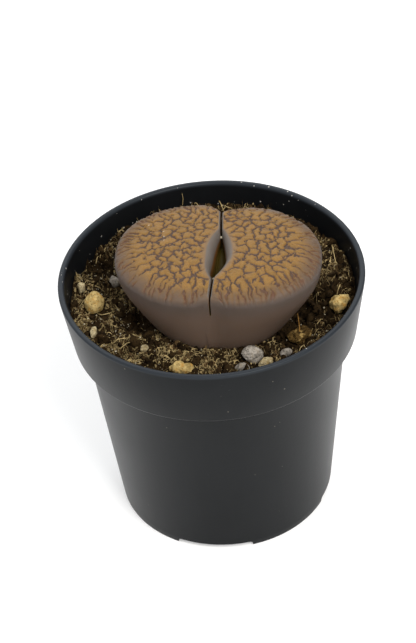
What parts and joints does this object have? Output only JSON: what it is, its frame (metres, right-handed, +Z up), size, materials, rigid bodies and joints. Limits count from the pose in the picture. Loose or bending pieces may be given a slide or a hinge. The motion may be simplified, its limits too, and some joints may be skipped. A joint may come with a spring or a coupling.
{
  "type": "potted lithops",
  "caption": "Stone-like succulent with fused, net-patterned leaves, standing in peaty soil with loose stones in a small round plastic nursery pot with a flared collar.",
  "frame": {"origin": "centre of the circle that the pot stands on", "axes": "+Z up, the plant's slit runs front to back and its front faces -Y, +X to the right seen from the front"},
  "size_m": [0.055, 0.055, 0.0578],
  "materials": {
    "pot_plastic": "satin charcoal moulded plastic with fine scuffs and dust",
    "peat_soil": "matt dark peat with tan fibres and crumbs",
    "plant_skin": "matt waxy skin, ochre islands between sunken purple-brown lines, mauve-brown sides",
    "yellow_stone": "rough porous yellow grit",
    "cream_stone": "rough cream grit",
    "grey_stone": "rough pinkish grey grit",
    "brown_lump": "rough yellow-brown clod"
  },
  "bodies": {
    "root": {"pot": "pot_plastic", "soil": "peat_soil", "lithops_plant": "plant_skin", "stone_yellow_left": "yellow_stone", "stone_cream_back": "cream_stone", "stone_grey_left": "grey_stone", "stone_cream_sliver": "cream_stone", "stone_cream_small": "cream_stone", "stone_yellow_front": "yellow_stone", "stone_pinkish_grey": "grey_stone", "stone_grey_low": "grey_stone", "stone_cream_front": "cream_stone", "stone_lavender_grey": "grey_stone", "stone_yellow_right": "yellow_stone", "lump_brown": "brown_lump"}
  },
  "joints": []
}
